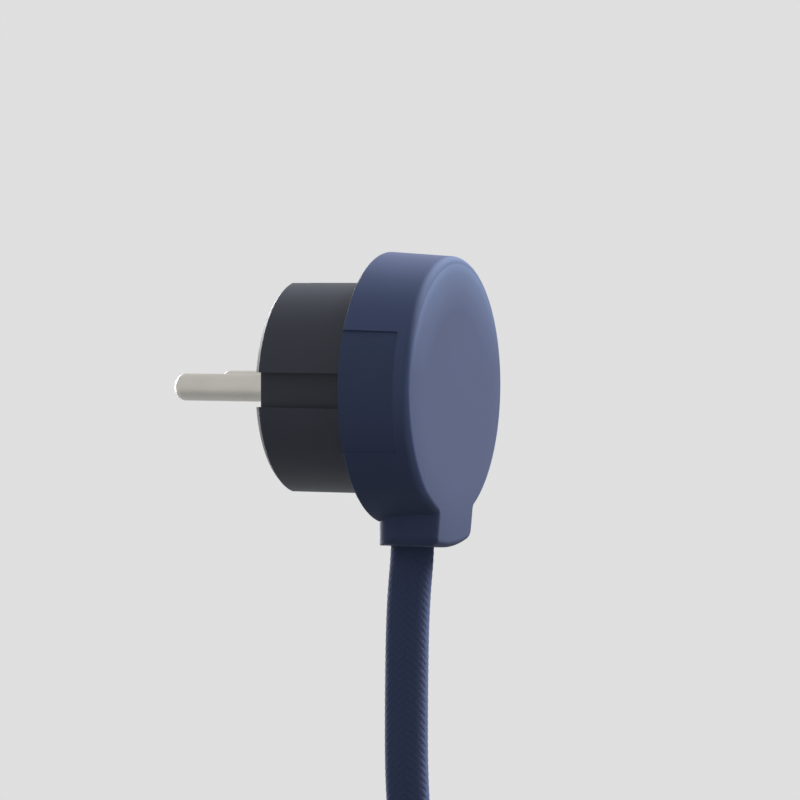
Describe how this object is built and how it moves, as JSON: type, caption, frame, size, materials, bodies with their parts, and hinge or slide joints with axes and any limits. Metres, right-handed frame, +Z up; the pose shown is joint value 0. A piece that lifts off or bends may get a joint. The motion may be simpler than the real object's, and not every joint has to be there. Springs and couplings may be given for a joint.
{
  "type": "flat low profile plug",
  "caption": "Flat round mains plug with a shallow moulded cover, side grips, a cord tab below and a braided lead with a coil and a connector.",
  "frame": {"origin": "middle of the engagement face, between the two pins", "axes": "+Y the way the plug goes into the socket, +X to the right seen from the front, +Z up; the cord hangs towards -Z"},
  "size_m": [0.1234, 0.0572, 0.2782],
  "materials": {
    "cover": "soft-touch, matt",
    "carrier": "fine grain, matt",
    "pin": "nickel plated",
    "earth": "nickel plated",
    "screw": "zinc plated",
    "clamp": "matt",
    "sheath": "matt",
    "core_brown": "satin",
    "core_blue": "satin",
    "core_earth": "satin",
    "ferrule": "tin plated",
    "lead": "braided textile sleeve",
    "tie": "woven strap",
    "connector": "moulded, matt",
    "nose": "moulded, matt",
    "contact": "bare"
  },
  "bodies": {
    "root": {"front_cover": "cover", "rear_insert": "carrier", "line_pin": "pin", "neutral_pin": "pin", "line_screw": "screw", "neutral_screw": "screw", "earth_screw": "screw", "earth_strip": "earth", "earth_sleeve": "earth", "earth_block": "earth", "cover_screws": "screw", "cord_clamp": "clamp", "clamp_screws": "screw", "cord_sheath": "sheath", "line_core": "core_brown", "neutral_core": "core_blue", "earth_core": "core_earth", "line_ferrule": "ferrule", "neutral_ferrule": "ferrule", "earth_ferrule": "ferrule", "cord": "lead", "cord_coil": "lead", "cord_tail": "lead", "coil_tie": "tie", "connector_body": "connector", "connector_nose": "nose", "connector_line_contact": "contact", "connector_neutral_contact": "contact", "connector_earth_contact": "contact"}
  },
  "joints": []
}
